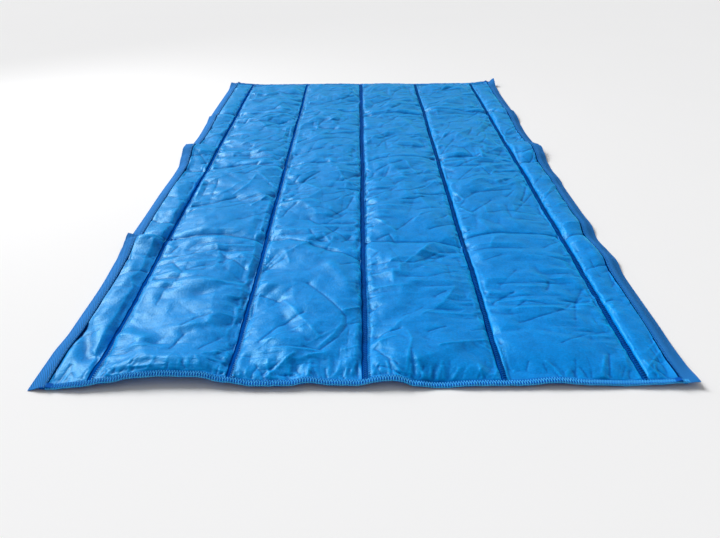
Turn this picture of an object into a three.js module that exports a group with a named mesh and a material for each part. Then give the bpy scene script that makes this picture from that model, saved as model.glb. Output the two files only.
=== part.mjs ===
// A disposable quilted blanket, unfolded and laid flat on a floor.
//
// Lengths are millimetres. X runs across the blanket, Y along it and Z up. The origin is on the floor, under
// the middle of the blanket. The near end is at -Y and the far end at +Y; left and right are -X and +X.
//
// The quilt is one filled solid of thin film, sewn into lengthwise channels, and a binding tape is sewn
// along each long edge. The blanket was folded in four along its length, so three packing creases cross it,
// and its edges still stand off the floor in waves beside them.
import * as THREE from 'three';

// Overall size
const HALF_LENGTH = 950;

// Sewn channels
const SEAM_LINES = [-460.5, -230.5, -4.5, 226.5, 460.5];
const FULL_CROWNS = [19, 18, 18.5, 18];
const HALF_CROWN = 15;
const DOME_POWER = 2.5;
const SEAM_TOP = 4.6;
const SEAM_RISE = 2;
const SEAM_RISE_REACH = 22;

// Closed ends
const END_THICK = 4;
const END_REACH = 60;

// The quilt's margin, which the filling beside it holds half-way up, and its thin lip under the tape
const MARGIN_REST = 8;
const MARGIN_REST_AT_END = 4;
const MARGIN_RISE_REACH = 30;
const LIP_WIDTH = 9;
const LIP_THICK = 2.2;
const EDGE_LIFT_REACH = 95;

// The tape: how far it runs out from its sewn line, and how it turns down past the lip
const TAPE_RUN = 29.5;
const TAPE_THICK = 1.2;
const TAPE_GAP = 0.35;
const TAPE_CLEAR = 0.4;
const TAPE_BENDS = [
  { out: 0.35, drop: 0.5 },
  { out: 0.65, drop: 0.8 },
  { out: 1, drop: 1 },
];

// Packing creases, pressed across the whole quilt as soft valleys
const CREASE_WIDTH = 17;
const CREASES = [
  {
    depth: 7.5,
    line: [
      { across: -530, along: -441 },
      { across: -330, along: -434 },
      { across: -231, along: -455 },
      { across: -10, along: -476 },
      { across: 75, along: -450 },
      { across: 206, along: -468 },
      { across: 355, along: -436 },
      { across: 530, along: -457 },
    ],
  },
  {
    depth: 7,
    line: [
      { across: -530, along: -19 },
      { across: -415, along: -2 },
      { across: -227, along: -12 },
      { across: -60, along: 12 },
      { across: 60, along: 38 },
      { across: 226, along: 46 },
      { across: 448, along: 29 },
      { across: 530, along: 26 },
    ],
  },
  {
    depth: 6,
    line: [
      { across: -530, along: 505 },
      { across: -447, along: 513 },
      { across: -239, along: 514 },
      { across: -120, along: 540 },
      { across: 21, along: 506 },
      { across: 233, along: 549 },
      { across: 435, along: 534 },
      { across: 530, along: 500 },
    ],
  },
];

// Where the long edges lie, read along the blanket
const LEFT_EDGE = [
  { along: -950, across: -561 },
  { along: -860, across: -559 },
  { along: -790, across: -553.5 },
  { along: -650, across: -552 },
  { along: -430, across: -557.5 },
  { along: -200, across: -557 },
  { along: 0, across: -553 },
  { along: 120, across: -559.5 },
  { along: 300, across: -554 },
  { along: 620, across: -558 },
  { along: 950, across: -556 },
];
const RIGHT_EDGE = [
  { along: -950, across: 545 },
  { along: -880, across: 543.5 },
  { along: -780, across: 547 },
  { along: -600, across: 547.5 },
  { along: -545, across: 551 },
  { along: -440, across: 545.5 },
  { along: -360, across: 551.5 },
  { along: 0, across: 553.5 },
  { along: 120, across: 557.5 },
  { along: 300, across: 552.5 },
  { along: 480, across: 558.5 },
  { along: 620, across: 559.5 },
  { along: 950, across: 561 },
];

// How high the long edges stand off the floor: the quilt's margin, and the tape's outer edge
const LEFT_LIFT = [
  { along: -950, margin: 3, outer: 0 },
  { along: -880, margin: 8, outer: 1 },
  { along: -640, margin: 10, outer: 0 },
  { along: -530, margin: 11, outer: 1 },
  { along: -455, margin: 15, outer: 7 },
  { along: -425, margin: 15, outer: 10 },
  { along: -402, margin: 7, outer: 1 },
  { along: -300, margin: 8, outer: 0 },
  { along: -60, margin: 8, outer: 0 },
  { along: 20, margin: 9, outer: 1 },
  { along: 75, margin: 16, outer: 12 },
  { along: 125, margin: 26, outer: 26 },
  { along: 155, margin: 24, outer: 25 },
  { along: 182, margin: 8, outer: 1 },
  { along: 300, margin: 7, outer: 0 },
  { along: 430, margin: 9, outer: 2 },
  { along: 490, margin: 14, outer: 9 },
  { along: 520, margin: 8, outer: 2 },
  { along: 700, margin: 8, outer: 1 },
  { along: 870, margin: 8, outer: 1 },
  { along: 950, margin: 8, outer: 14 },
];
const RIGHT_LIFT = [
  { along: -950, margin: 6, outer: 10 },
  { along: -900, margin: 7, outer: 5 },
  { along: -800, margin: 7, outer: 1 },
  { along: -620, margin: 7, outer: 0 },
  { along: -550, margin: 12, outer: 6 },
  { along: -505, margin: 10, outer: 3 },
  { along: -445, margin: 5, outer: 0 },
  { along: -390, margin: 12, outer: 6 },
  { along: -300, margin: 8, outer: 2 },
  { along: -140, margin: 8, outer: 1 },
  { along: -95, margin: 11, outer: 5 },
  { along: -20, margin: 6, outer: 0 },
  { along: 40, margin: 8, outer: 3 },
  { along: 90, margin: 17, outer: 13 },
  { along: 130, margin: 21, outer: 20 },
  { along: 165, margin: 18, outer: 15 },
  { along: 200, margin: 8, outer: 1 },
  { along: 330, margin: 7, outer: 0 },
  { along: 410, margin: 7, outer: 0 },
  { along: 475, margin: 14, outer: 9 },
  { along: 530, margin: 15, outer: 10 },
  { along: 580, margin: 8, outer: 2 },
  { along: 760, margin: 7, outer: 1 },
  { along: 880, margin: 7, outer: 5 },
  { along: 950, margin: 8, outer: 26 },
];

// How high the underside of each closed end stands off the floor, read across the blanket
const END_LIFT_REACH = 130;
const END_DRAWN_IN = 0.2;
const END_FREE_LIFT = 4;
const NEAR_LIFT = [
  { across: -531, lift: 1 },
  { across: -480, lift: 7 },
  { across: -430, lift: 13 },
  { across: -395, lift: 20 },
  { across: -345, lift: 23 },
  { across: -285, lift: 21 },
  { across: -235, lift: 12 },
  { across: -190, lift: 6 },
  { across: -130, lift: 6 },
  { across: -105, lift: 9 },
  { across: -60, lift: 6 },
  { across: -20, lift: 6 },
  { across: 25, lift: 11 },
  { across: 45, lift: 12 },
  { across: 80, lift: 4 },
  { across: 115, lift: 0 },
  { across: 180, lift: 4 },
  { across: 250, lift: 4 },
  { across: 310, lift: 7 },
  { across: 370, lift: 4 },
  { across: 420, lift: 2 },
  { across: 480, lift: 3 },
  { across: 520, lift: 5 },
];
const FAR_LIFT = [
  { across: -532, lift: 6 },
  { across: -480, lift: 3 },
  { across: -400, lift: 1 },
  { across: -230, lift: 2 },
  { across: -100, lift: 3 },
  { across: 0, lift: 1 },
  { across: 100, lift: 3 },
  { across: 230, lift: 0 },
  { across: 340, lift: 2 },
  { across: 460, lift: 2 },
  { across: 532, lift: 6 },
];

// The broad soft folds in the top film. Depth is below the crown, so a ridge has a negative depth.
const FOLDS = [
  { from: [-436, -818], to: [-388, -900], width: 16, depth: -3 },
  { from: [-395, -700], to: [-250, -615], width: 26, depth: 4 },
  { from: [-320, -830], to: [-240, -775], width: 22, depth: 3.5 },
  { from: [-333, -518], to: [-250, -592], width: 20, depth: 3 },
  { from: [-391, 75], to: [-241, 70], width: 22, depth: 4 },
  { from: [-391, 129], to: [-249, 209], width: 24, depth: 3 },
  { from: [-297, -70], to: [-236, -170], width: 18, depth: -3 },
  { from: [-388, -302], to: [-264, -244], width: 22, depth: 3.5 },
  { from: [-198, -674], to: [-45, -763], width: 24, depth: 4 },
  { from: [-157, -738], to: [-91, -856], width: 20, depth: 3.5 },
  { from: [-156, -442], to: [-30, -540], width: 20, depth: 4 },
  { from: [-137, -351], to: [-48, -480], width: 20, depth: 3 },
  { from: [-196, 322], to: [-30, 319], width: 22, depth: 3.5 },
  { from: [-136, 595], to: [-30, 699], width: 24, depth: 3 },
  { from: [10, -562], to: [190, -526], width: 20, depth: 3.5 },
  { from: [30, -359], to: [75, -422], width: 18, depth: -2.5 },
  { from: [73, -192], to: [167, -160], width: 20, depth: 3 },
  { from: [21, 504], to: [170, 552], width: 20, depth: 3 },
  { from: [293, -384], to: [420, -314], width: 22, depth: 3.5 },
  { from: [253, -813], to: [368, -832], width: 22, depth: 2.5 },
  { from: [266, -113], to: [337, -9], width: 20, depth: 3 },
  { from: [268, 171], to: [448, 29], width: 20, depth: 3 },
];

// How finely the solids are cut: shares of a channel across, and places along
const FULL_SHARES = [0, 0.04, 0.11, 0.28, 0.5, 0.72, 0.89, 0.96];
const HALF_SHARES = [0, 0.1, 0.3, 0.6, 0.85];
const END_STEPS = [0, 7, 20, 40, 65];
const CREASE_STEPS = [-42, -20, 0, 20, 42];
const CREASE_PLACES = [-440, 12, 522];
const WAVE_PLACES = [125, 155, 185];
const LONGEST_STEP = 52;

const smooth = (t) => t * t * (3 - 2 * t);
const clamp = (v, low, high) => Math.min(high, Math.max(low, v));
const mix = (a, b, t) => a + (b - a) * t;

// A value read from a table of rows, eased from row to row
function read(rows, key, column, at) {
  if (at <= rows[0][key]) return rows[0][column];
  for (let i = 1; i < rows.length; i++) {
    if (at <= rows[i][key]) {
      const t = (at - rows[i - 1][key]) / (rows[i][key] - rows[i - 1][key]);
      return mix(rows[i - 1][column], rows[i][column], smooth(t));
    }
  }
  return rows[rows.length - 1][column];
}

// The round shoulder and gentle crown of a filled channel: 0 at its two seams and 1 in its middle
const dome = (share) => Math.sqrt(1 - Math.abs(2 * share - 1) ** DOME_POWER);

// How full the quilt is, from 0 at a closed end to 1 well inside
function endFill(y) {
  const t = clamp((HALF_LENGTH - Math.abs(y)) / END_REACH, 0, 1);
  return Math.sqrt(1 - (1 - t) ** DOME_POWER);
}

// 1 beside a place and 0 beyond its reach, without a corner at either end
const fade = (distance, reach) => 1 - smooth(clamp(distance / reach, 0, 1));

function creaseDepth(x, y) {
  let depth = 0;
  for (const crease of CREASES) {
    const off = (y - read(crease.line, 'across', 'along', x)) / CREASE_WIDTH;
    depth += crease.depth * Math.exp(-off * off);
  }
  return depth;
}

function foldDepth(x, y) {
  let depth = 0;
  for (const { from, to, width, depth: most } of FOLDS) {
    const [dx, dy] = [to[0] - from[0], to[1] - from[1]];
    const length = Math.hypot(dx, dy);
    const along = ((x - from[0]) * dx + (y - from[1]) * dy) / length;
    const off = ((x - from[0]) * dy - (y - from[1]) * dx) / length / width;
    const ends = fade(Math.max(-along, along - length, 0), width);
    depth += most * ends * Math.exp(-off * off);
  }
  return depth;
}

// Both sides of a long edge at one place along the blanket: its margin and its tape's outer edge
function edgeAt(side, y) {
  const [places, lifts] = side < 0 ? [LEFT_EDGE, LEFT_LIFT] : [RIGHT_EDGE, RIGHT_LIFT];
  const across = read(places, 'along', 'across', y);
  return {
    side,
    outer: across,
    sewn: across - side * TAPE_RUN,
    margin: read(lifts, 'along', 'margin', y),
    drop: read(lifts, 'along', 'outer', y),
    rest: mix(MARGIN_REST_AT_END, MARGIN_REST, endFill(y)),
  };
}

// How high the quilt's underside is lifted off the floor by the waves in its edges and ends
function liftAt(x, y, edges) {
  const rows = y < 0 ? NEAR_LIFT : FAR_LIFT;
  let lift = read(rows, 'across', 'lift', x) * fade(HALF_LENGTH - Math.abs(y), END_LIFT_REACH);
  for (const edge of edges) {
    const wave = Math.max(edge.margin - edge.rest, 0);
    lift += wave * fade(Math.abs(x - edge.sewn), EDGE_LIFT_REACH);
  }
  return lift;
}

// A channel's left or right side is a seam or a margin: its place, its top and how its underside rises to it
const seamSide = (x) => ({ x, top: SEAM_TOP, rise: SEAM_RISE, reach: SEAM_RISE_REACH });
const marginSide = ({ sewn, rest }) => (
  { x: sewn, top: rest + LIP_THICK, rise: rest, reach: MARGIN_RISE_REACH }
);
const riseAt = (side, x) => side.rise * (1 - clamp(Math.abs(x - side.x) / side.reach, 0, 1)) ** 2;

// One place in a channel: share 0 is on its left side and 1 on its right one
function channelPoint(left, right, crown, share, y, edges) {
  const x = mix(left.x, right.x, share);
  const lift = liftAt(x, y, edges);
  const sideTop = mix(left.top, right.top, share);
  const fill = endFill(y);
  const dents = (creaseDepth(x, y) + foldDepth(x, y)) * dome(share) * fill;
  const full = sideTop + (crown - sideTop) * dome(share) - dents;
  return {
    x,
    top: lift + mix(Math.min(END_THICK, sideTop), full, fill),
    bottom: lift + riseAt(left, x) + riseAt(right, x),
  };
}

// The lip keeps one height across, so that the tape lies on it with an even gap
function lipPoint({ sewn, margin }, out) {
  return { x: sewn + out, top: margin + LIP_THICK, bottom: margin };
}

function quiltSection(y) {
  const edges = [edgeAt(-1, y), edgeAt(1, y)];
  const [left, right] = edges;
  const sides = [marginSide(left), ...SEAM_LINES.map(seamSide), marginSide(right)];
  const crowns = [HALF_CROWN, ...FULL_CROWNS, HALF_CROWN];
  const points = [lipPoint(left, -LIP_WIDTH), lipPoint(left, 0)];
  crowns.forEach((crown, i) => {
    const shares = i === 0 || i === crowns.length - 1 ? HALF_SHARES : FULL_SHARES;
    for (const share of shares) {
      if (i > 0 || share > 0) points.push(channelPoint(sides[i], sides[i + 1], crown, share, y, edges));
    }
  });
  points.push(lipPoint(right, 0), lipPoint(right, LIP_WIDTH));
  const drawnIn = y === -HALF_LENGTH ? END_DRAWN_IN : 0;
  return points.map((p) => ({ ...p, y: y + drawnIn * Math.max(p.bottom - END_FREE_LIFT, 0) }));
}

// A tape lies on the lip and turns down to the floor, or stays up where its outer edge is lifted
function tapeSection(side, y) {
  const edge = edgeAt(side, y);
  const onLip = edge.margin + LIP_THICK + TAPE_GAP;
  const pastLip = edge.sewn + side * (LIP_WIDTH + TAPE_CLEAR);
  const places = [
    { x: edge.sewn + side * TAPE_CLEAR, bottom: onLip },
    { x: pastLip, bottom: onLip },
    ...TAPE_BENDS.map(({ out, drop }) => (
      { x: mix(pastLip, edge.outer, out), bottom: mix(onLip, edge.drop, drop) }
    )),
  ];
  if (side < 0) places.reverse();
  return places.map((p) => ({ ...p, y, top: p.bottom + TAPE_THICK }));
}

// Places along the blanket: close at the ends, the creases and the highest wave, and even between them
function stations() {
  const places = [...WAVE_PLACES];
  for (const step of END_STEPS) places.push(-HALF_LENGTH + step, HALF_LENGTH - step);
  for (const crease of CREASE_PLACES) places.push(...CREASE_STEPS.map((step) => crease + step));
  places.sort((a, b) => a - b);
  const all = [places[0]];
  for (let i = 1; i < places.length; i++) {
    const steps = Math.ceil((places[i] - places[i - 1]) / LONGEST_STEP);
    for (let n = 1; n <= steps; n++) all.push(mix(places[i - 1], places[i], n / steps));
  }
  return all;
}

// A closed solid from sections that each hold the same number of places with a top and a bottom
function solidFromSections(sections) {
  const across = sections[0].length;
  const positions = [];
  for (const face of ['top', 'bottom']) {
    for (const section of sections) {
      for (const p of section) positions.push(p.x, p.y, p[face]);
    }
  }
  const layer = sections.length * across;
  const at = (row, column, below) => below * layer + row * across + column;
  const indices = [];
  const quad = (a, b, c, d) => indices.push(a, b, c, a, c, d);
  for (let row = 0; row < sections.length - 1; row++) {
    for (let column = 0; column < across - 1; column++) {
      for (const below of [0, 1]) {
        const corners = [at(row, column, below), at(row, column + 1, below),
          at(row + 1, column + 1, below), at(row + 1, column, below)];
        quad(...(below ? corners.reverse() : corners));
      }
    }
    quad(at(row, 0, 0), at(row + 1, 0, 0), at(row + 1, 0, 1), at(row, 0, 1));
    const last = across - 1;
    quad(at(row + 1, last, 0), at(row, last, 0), at(row, last, 1), at(row + 1, last, 1));
  }
  const end = sections.length - 1;
  for (let column = 0; column < across - 1; column++) {
    quad(at(0, column + 1, 0), at(0, column, 0), at(0, column, 1), at(0, column + 1, 1));
    quad(at(end, column, 0), at(end, column + 1, 0), at(end, column + 1, 1), at(end, column, 1));
  }
  const geometry = new THREE.BufferGeometry();
  geometry.setAttribute('position', new THREE.Float32BufferAttribute(positions, 3));
  geometry.setIndex(indices);
  geometry.computeVertexNormals();
  return geometry;
}

const film = new THREE.MeshStandardMaterial({ color: 0x2b8ce2, roughness: 0.38, metalness: 0 });
const binding = new THREE.MeshStandardMaterial({ color: 0x2466c4, roughness: 0.75, metalness: 0 });

function piece(name, sections, material) {
  const mesh = new THREE.Mesh(solidFromSections(sections), material);
  mesh.name = name;
  return mesh;
}

const along = stations();
const blanket = new THREE.Group();
blanket.add(piece('quilt', along.map(quiltSection), film));
blanket.add(piece('side_tape_left', along.map((y) => tapeSection(-1, y)), binding));
blanket.add(piece('side_tape_right', along.map((y) => tapeSection(1, y)), binding));

export default blanket;
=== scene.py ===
"""A disposable quilted blanket, unfolded and laid flat on a floor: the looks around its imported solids.

Lengths in the tables and the shape functions are millimetres in the part's frame: X across the blanket,
Y along it from the near end to the far end, Z up. Meshes are scaled to metres when they are made.
"""

import math
from collections import namedtuple

import bpy
import numpy as np
from mathutils import Matrix, Vector


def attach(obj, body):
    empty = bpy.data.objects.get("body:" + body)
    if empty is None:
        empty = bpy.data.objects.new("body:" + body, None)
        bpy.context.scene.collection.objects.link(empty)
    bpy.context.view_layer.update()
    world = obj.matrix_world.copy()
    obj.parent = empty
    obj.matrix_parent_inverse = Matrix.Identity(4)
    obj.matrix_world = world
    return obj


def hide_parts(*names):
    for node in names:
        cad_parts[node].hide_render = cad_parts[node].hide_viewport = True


MM = 0.001


def table(columns, rows):
    """A short table as one array for each named column."""
    return dict(zip(columns.split(), np.array(rows, float).T))


# Overall size and the sewn channels, as in the solids
HALF_LENGTH = 950.0
SEAM_LINES = (-460.5, -230.5, -4.5, 226.5, 460.5)
CROWNS = (15.0, 19.0, 18.0, 18.5, 18.0, 15.0)
DOME_POWER = 2.5

# A seam: a deep line on its left, and a raised sewn strip on its right
SEAM = table("across height", (
    (-5.6, 4.4),
    (-4.7, 3.0),
    (-3.5, 2.5),
    (-2.3, 3.6),
    (-0.2, 4.6),
    (2.4, 4.8),
    (4.2, 4.3),
))
SEAM_LEFT = SEAM["across"][0]
SEAM_RIGHT = SEAM["across"][-1]
# How high a seam draws up the underside, and how far to its sides
SEAM_RISE = 1.2
SEAM_RISE_REACH = 22.0
# How the seams wander and the film ruffles over their sides: the reach and start of each wave, and the height
# of all of them together. They are shifted along from seam to seam, and by a share of that from side to side.
SEAM_WANDERS = ((61, 0.3), (97, 1.9), (173, 0.8))
SEAM_WANDER = 1.6
SEAM_RUFFLES = ((5.3, 0.2), (8.9, 2.1), (14.7, 1.2), (26, 0.5))
SEAM_RUFFLE = 1.1
SEAM_SHIFT = 613.0
SEAM_SIDE_SHIFT = 0.4

# The closed ends: a flat overlocked strip, then the filling swells up, sooner at the seams than in the film.
# Where an end is lifted higher than its free lift, it is drawn in and swells up behind its strip.
END_STRIP = 11.0
END_THICK = 3.6
END_REACH = 48.0
FILM_END_REACH = 118.0
END_LIFT_REACH = 130.0
END_SHARES = (0.35, 0.7, 1.0)
END_DRAWN_IN = 0.2
END_FREE_LIFT = 4.0
END_SWELL = 0.3
END_SWELL_REACH = 75.0
END_RIPPLES = ((3.1, 0.4), (4.7, 1.9), (7.9, 0.2), (12.3, 1.1))
END_RIPPLE_HEIGHT = 1.8

# The margins under the tapes: how high they lie where no wave lifts them, and how thick they are
MARGIN_REST = 8.0
MARGIN_REST_AT_END = 4.0
MARGIN_END_REACH = 60.0
MARGIN_RISE_REACH = 30.0
LIP_WIDTH = 9.0
LIP_THICK = 2.2
EDGE_LIFT_REACH = 95.0

# The tapes. Across one, out is the share of the way from the sewn line to the outer edge, drop the share
# of the way down from the margin to the outer edge, and dip how far the stitches pull the tape down.
TAPE_RUN = 29.5
TAPE_THICK = 1.2
TAPE_GAP = 0.35
TAPE_CLEAR = 0.4
TAPE_GROOVE = 3.2
TAPE_ROWS = 420
TAPE_SECTION = table("out drop dip", (
    (0.0, 0.0, 0.0),
    (0.05, 0.0, 0.0),
    (0.088, 0.0, 0.2),
    (0.126, 0.0, 0.0),
    (0.40, 0.05, 0.0),
    (0.55, 0.36, 0.0),
    (0.68, 0.6, 0.0),
    (0.8, 0.78, 0.0),
    (0.9, 0.91, 0.0),
    (1.0, 1.0, 0.0),
))
# Where across a tape its stitches lie, and half the width of the painted shade along them
TAPE_SEWN_AT = 0.088
TAPE_SEWN_HALF = 0.02
TAPE_RIB_PITCH = 3.2
TAPE_RIB_TURN = math.radians(21)
# How much darker between the ribs and lighter on their tops the colour is: painted shade and highlight
TAPE_RIB_PAINTED_LIGHT = (0.64, 1.36)
TAPE_RIB_BUMP = 0.0002

LEFT_EDGE = table("along across", (
    (-950, -561), (-860, -559), (-790, -553.5), (-650, -552), (-430, -557.5), (-200, -557),
    (0, -553), (120, -559.5), (300, -554), (620, -558), (950, -556),
))
RIGHT_EDGE = table("along across", (
    (-950, 545), (-880, 543.5), (-780, 547), (-600, 547.5), (-545, 551), (-440, 545.5), (-360, 551.5),
    (0, 553.5), (120, 557.5), (300, 552.5), (480, 558.5), (620, 559.5), (950, 561),
))

# How high the long edges stand off the floor: the quilt's margin, and the tape's outer edge
LEFT_LIFT = table("along margin outer", (
    (-950, 3, 0), (-880, 8, 1), (-640, 10, 0), (-530, 11, 2), (-480, 16, 7), (-458, 18, 12),
    (-440, 9, 17), (-430, 8, 18), (-414, 7, 2), (-390, 7, 1), (-300, 8, 0), (-60, 8, 0), (20, 9, 1),
    (75, 16, 12), (125, 26, 26), (155, 24, 25), (182, 8, 1), (300, 7, 0), (430, 9, 2), (490, 14, 9),
    (520, 8, 2), (700, 8, 1), (870, 8, 1), (950, 8, 14),
))
RIGHT_LIFT = table("along margin outer", (
    (-950, 6, 10), (-900, 7, 5), (-800, 7, 1), (-620, 7, 0), (-550, 12, 6), (-505, 10, 3),
    (-445, 5, 0), (-390, 12, 6), (-300, 8, 2), (-140, 8, 1), (-95, 11, 5), (-20, 6, 0), (40, 8, 3),
    (90, 17, 13), (130, 21, 20), (165, 18, 15), (200, 8, 1), (330, 7, 0), (410, 7, 0), (475, 14, 9),
    (530, 15, 10), (580, 8, 2), (760, 7, 1), (880, 7, 5), (950, 8, 26),
))

# How high the closed ends stand off the floor
NEAR_LIFT = table("across lift", (
    (-531, 1), (-480, 6), (-430, 10), (-395, 14), (-345, 15.5), (-285, 14.5), (-235, 9), (-190, 6),
    (-130, 6), (-105, 9), (-60, 6), (-20, 6), (25, 11), (45, 12), (80, 4), (115, 0), (180, 4),
    (250, 4), (310, 7), (370, 4), (420, 2), (480, 3), (520, 5),
))
FAR_LIFT = table("across lift", (
    (-532, 6), (-480, 3), (-400, 1), (-230, 2), (-100, 3), (0, 1), (100, 3), (230, 0), (340, 2),
    (460, 2), (532, 6),
))
# How far the near end is drawn in where it stands highest
NEAR_DRAWN = table("across drawn", (
    (-480, 0), (-430, 5), (-395, 10), (-345, 13), (-285, 12), (-235, 5), (-190, 0), (-130, 0),
    (-100, 4), (-60, 1), (-20, 0), (35, 4), (80, 0), (250, 0), (310, 2), (370, 0),
))
NEAR_DRAWN_REACH = 140.0

# The stitches on a tape. A dash is one stitch: how far along it and how deep it has sunk into the cloth.
DASH = ((0.06, 0.9), (0.22, 0.15), (0.5, 0.0), (0.74, 0.15), (0.9, 0.9))
TAPE_PITCH = 4.2
TAPE_THREAD = 0.6
TAPE_FIRST_STITCH = 2.0
# The overlocking: how far in from the rim and how high a thread lies on its way round it, and how far it
# slants along the rim. One more thread swings up and down along the rim.
OVERLOCK_HALF = 530.0
OVERLOCK_PITCH = 4.4
OVERLOCK_THREAD = 0.47
OVERLOCK_WRAP = table("inboard above slant", (
    (10.6, 3.3, 2.2),
    (9.6, 3.9, 1.9),
    (1.6, 3.9, -0.1),
    (-0.4, 3.3, -0.5),
    (-0.9, 1.8, -0.6),
    (-0.4, 0.1, -0.6),
    (4.0, -0.2, -0.6),
))
OVERLOCK_EDGE_THREAD = 0.6
OVERLOCK_EDGE_OUT = 0.9
OVERLOCK_EDGE_SWING = 0.55
# The ladder stitches over a seam. Each place of a rung is a step further along than the one before. A rung
# starts on the seam and then lies on the next panel, raised by a share of its thread's radius.
LADDER_PITCH = 5.6
LADDER_STEP = 0.4
LADDER_THREAD = 0.8
LADDER_OVER_FILM = 0.6
LADDER_ON_SEAM = ((-2.6, 3.2), (-0.4, 4.5), (2.3, 4.8), (3.5, 4.6))
# Up to where across each seam the deep line's painted shade reaches, at which place on the seam its sewing
# starts, over how many places of the next panel it goes, and whether its thread is the light copy with
# painted highlight rather than the copy with painted shade
SewnSeam = namedtuple("SewnSeam", "dark_until starts columns light")
SEWN_SEAMS = (
    SewnSeam(dark_until=9.0, starts=3, columns=4, light=True),
    SewnSeam(dark_until=9.0, starts=2, columns=4, light=True),
    SewnSeam(dark_until=-0.8, starts=0, columns=4, light=False),
    SewnSeam(dark_until=9.0, starts=0, columns=1, light=False),
    SewnSeam(dark_until=9.0, starts=0, columns=1, light=False),
)

# Packing creases and folds in the top film, placed one by one. Each is a trough, or a ridge where the depth
# is negative: how far it reaches to each side, how deep it is, whether it is sharp, and its route.
# A fold is worked out over some widths around it. A sharp one has a small round tip and falls off evenly.
Fold = namedtuple("Fold", "width depth sharp path")
FOLD_ROOM = 4.0
FOLD_TIP = 0.8
FOLD_FALL = 1.8
# The thin crease along a sharp fold: its depth, how deep a fold has to be to have all of it, how wide it is
# at the near and the far end of the blanket, and how long its deeper and shallower stretches are
CREASE_LINE_DEPTH = 0.45
CREASE_LINE_FULL = 2.0
CREASE_LINE_WIDTH = (2.1, 4.2)
CREASE_LINE_PATCH = 26.0
# Each packing crease by its depth and route, as a soft trough with a narrow sharp one in it
PACKING_WIDTH = 14
PACKING_LINE_WIDTH = 6
PACKING_LINE_DEPTH = 2.2
PACKING_CREASES = (
    (3.5, (-531, -441), (-446, -441)),
    (3.5, (-446, -441), (-334, -432), (-231, -463)),
    (3.5, (-225, -442), (-174, -451), (-112, -488), (-10, -545)),
    (3, (0, -462), (55, -467), (183, -476), (226, -486)),
    (3, (232, -446), (319, -430), (460, -440)),
    (3, (466, -450), (531, -433)),
    (3, (-531, -18), (-446, -20)),
    (3.5, (-446, -8), (-414, 3), (-366, 16), (-236, 0)),
    (3, (-225, 13), (-109, 25), (-49, -3), (-8, 10)),
    (3, (0, 23), (51, 63), (223, 60)),
    (3, (233, 60), (326, 73), (456, 15)),
    (3, (466, 29), (531, 26)),
    (3, (-531, 504), (-447, 513)),
    (3, (-447, 513), (-334, 516), (-239, 514)),
    (3, (-225, 520), (-136, 560), (-15, 540)),
    (3, (0, 490), (114, 518), (220, 496)),
    (3, (233, 549), (349, 534), (450, 510)),
    (3, (466, 543), (531, 480)),
)
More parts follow.
